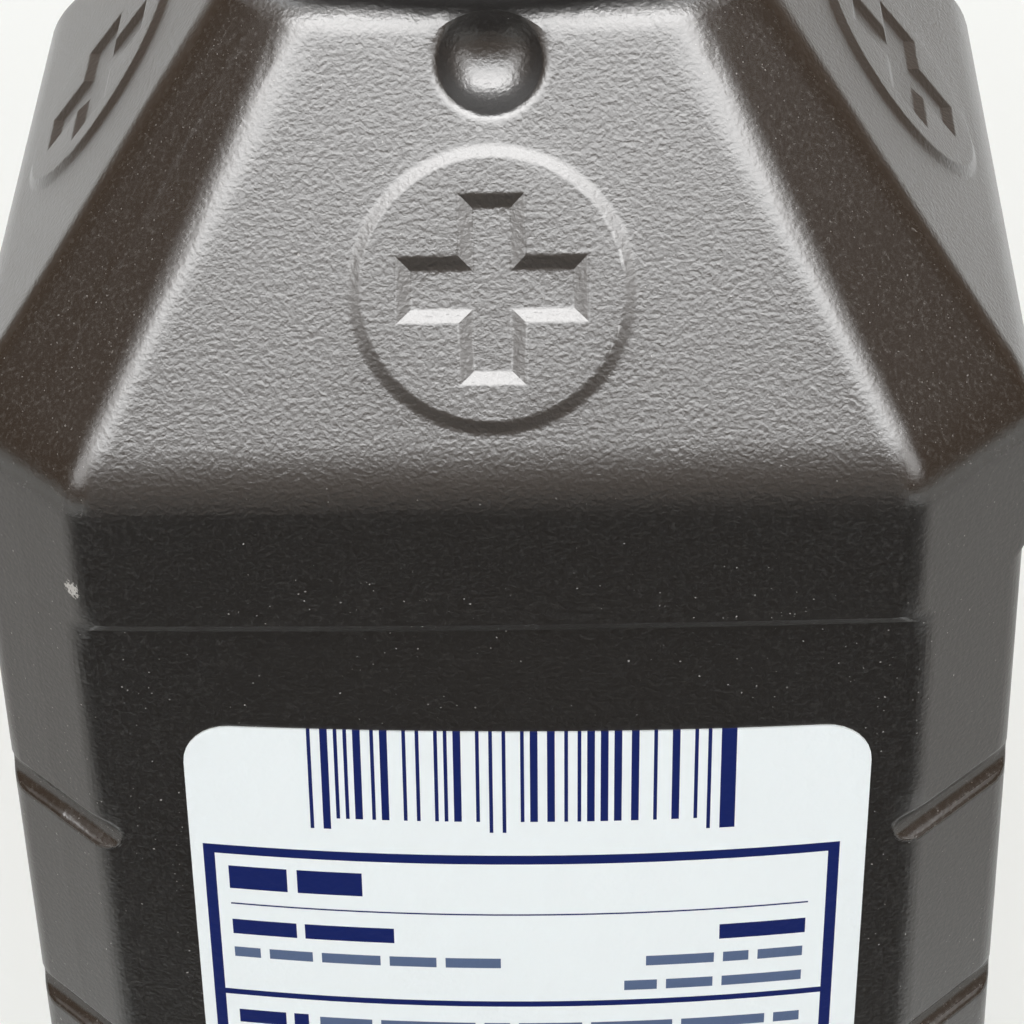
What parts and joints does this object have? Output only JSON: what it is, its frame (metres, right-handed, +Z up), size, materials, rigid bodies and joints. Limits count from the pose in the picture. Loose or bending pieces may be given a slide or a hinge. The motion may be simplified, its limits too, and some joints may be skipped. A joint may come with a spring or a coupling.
{
  "type": "antiseptic solution bottle",
  "caption": "Square dark plastic solution bottle with cut corners, sloping shoulders with raised cross discs, paper labels and a ribbed screw cap that turns up its thread.",
  "frame": {"origin": "centre of the base, on the surface that the bottle stands on", "axes": "+Z up along the neck and the cap's thread; the panel with the facts label faces -Y, with +X to its right"},
  "size_m": [0.062, 0.062, 0.178],
  "materials": {
    "shell": "dark brown blow-moulded polyethylene with a fine orange-peel gloss",
    "solution": "clear watery liquid",
    "foil": "satin foil laminate",
    "liner": "pressed pulp board",
    "cap": "white moulded polypropylene with fine ribs",
    "label": "semi-gloss coated paper with dark blue print"
  },
  "bodies": {
    "bottle": {"bottle": "shell", "solution": "solution", "foil_seal": "foil", "facts_label": "label", "main_label": "label"},
    "liner": {"cap_liner": "liner"},
    "cap": {"screw_cap": "cap"}
  },
  "joints": [
    {"name": "cap_lift", "type": "slide", "parent": "bottle", "child": "liner", "axis": [0, 0, 1], "range_m": [0, 0.0191]},
    {"name": "cap_turn", "type": "hinge", "parent": "liner", "child": "cap", "pos_m": [0, 0, 0.168], "axis": [0, 0, 1], "range_deg": [0, 1620]}
  ],
  "couplings": [
    {"joint": "cap_lift", "follows": "cap_turn", "m_per_rad": 0.0006737}
  ]
}
